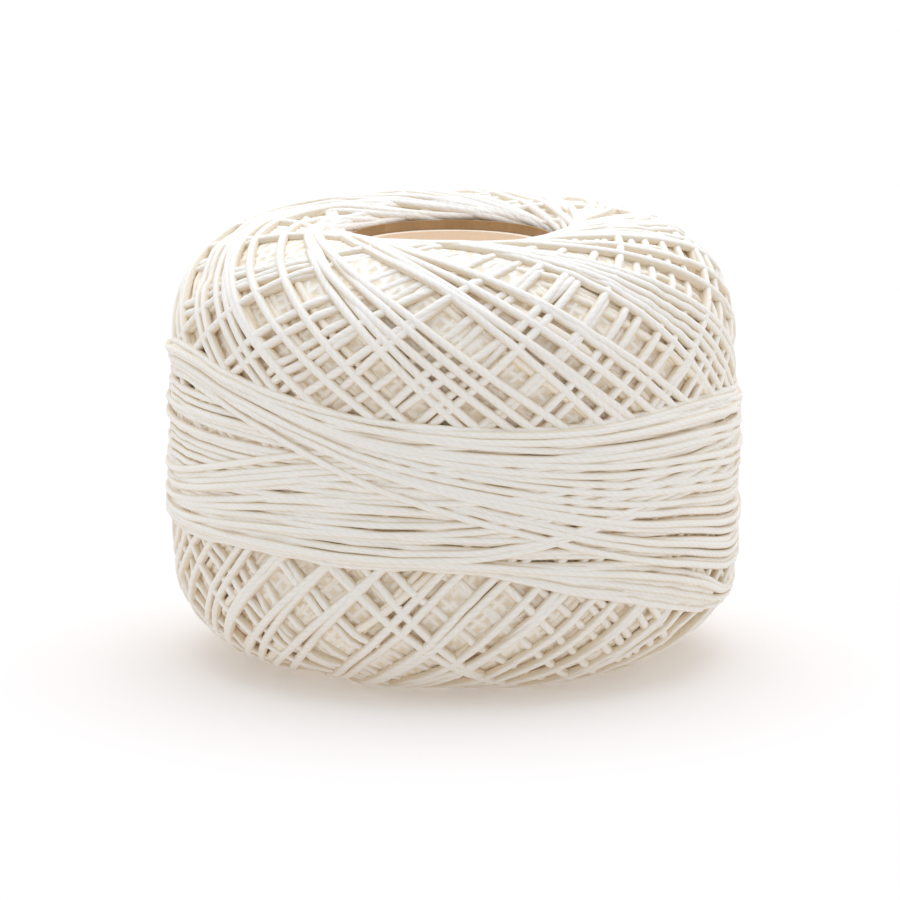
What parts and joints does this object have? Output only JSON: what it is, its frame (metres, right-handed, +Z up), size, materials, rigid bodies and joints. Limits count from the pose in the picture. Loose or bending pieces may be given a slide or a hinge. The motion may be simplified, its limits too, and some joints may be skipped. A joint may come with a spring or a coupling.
{
  "type": "ball of cotton crochet thread on a cardboard tube",
  "caption": "Cross-wound ball of cream cotton crochet thread with a waist band of level turns, on a cardboard tube that shows in its top hole, standing on its end.",
  "frame": {"origin": "middle of the flat spot that the ball stands on, on the axis of its tube", "axes": "+Z up along the tube, -Y towards the front where the slanting last turns show, +X to the right"},
  "size_m": [0.0725, 0.073, 0.0553],
  "materials": {
    "cotton_thread": "soft twisted cotton, lightly sheened, natural cream",
    "cardboard": "matt spiral-wound brown board"
  },
  "bodies": {
    "root": {"wound_ball": "cotton_thread", "core_tube": "cardboard"}
  },
  "joints": []
}
